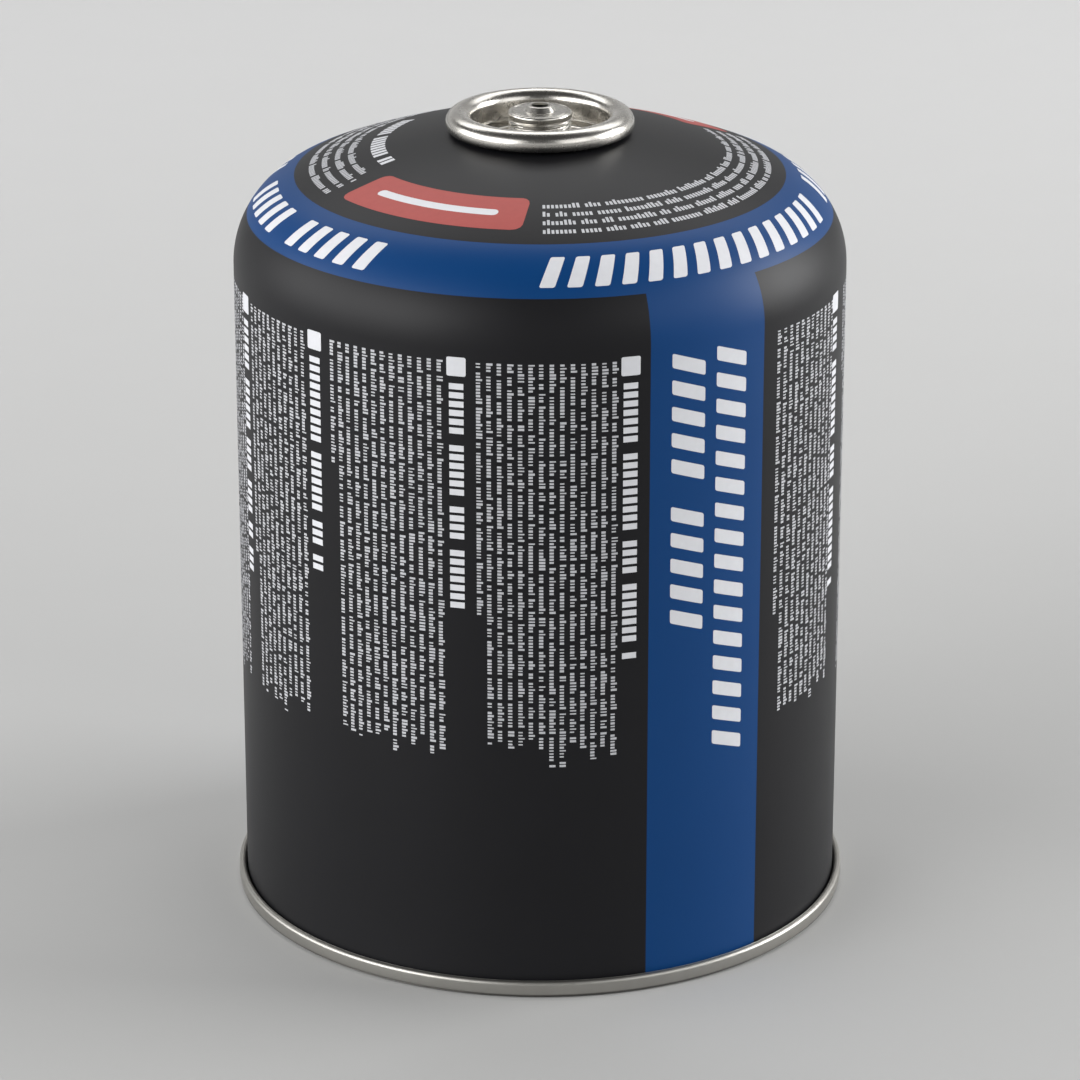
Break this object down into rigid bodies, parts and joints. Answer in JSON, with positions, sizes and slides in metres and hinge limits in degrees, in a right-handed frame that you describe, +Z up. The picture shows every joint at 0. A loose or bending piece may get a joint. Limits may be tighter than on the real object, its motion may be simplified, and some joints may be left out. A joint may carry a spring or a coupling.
{
  "type": "fuel canister",
  "caption": "Screw-on gas fuel canister: painted steel can with a domed shoulder, seamed base and a threaded self-sealing valve.",
  "frame": {"origin": "centre of the standing ring, on the plane that the canister stands on", "axes": "+Z up along the canister's axis towards the valve, -Y towards the viewer of the picture, +X to the viewer's right"},
  "size_m": [0.11, 0.11, 0.1442],
  "materials": {
    "enamelled_steel": "satin black enamel on steel, with a blue printed band and stripe",
    "tinplate": "plain matt tinplate",
    "bright_tinplate": "bright drawn tinplate",
    "nitrile_rubber": "matt black rubber",
    "acetal": "moulded natural acetal",
    "spring_steel": "drawn stainless wire"
  },
  "bodies": {
    "canister": {"can_body": "enamelled_steel", "base_end": "tinplate", "valve_cup": "bright_tinplate", "cup_gasket": "nitrile_rubber", "stem_gasket": "nitrile_rubber", "valve_housing": "acetal", "valve_spring": "spring_steel"},
    "stem": {"valve_stem": "acetal"}
  },
  "joints": [
    {"name": "stem_press", "type": "slide", "parent": "canister", "child": "stem", "axis": [0, 0, 1], "range_m": [-0.0015, 0], "stiffness_N_per_m": 1500, "springref_m": 0.002, "deforming": ["valve_spring"]}
  ]
}
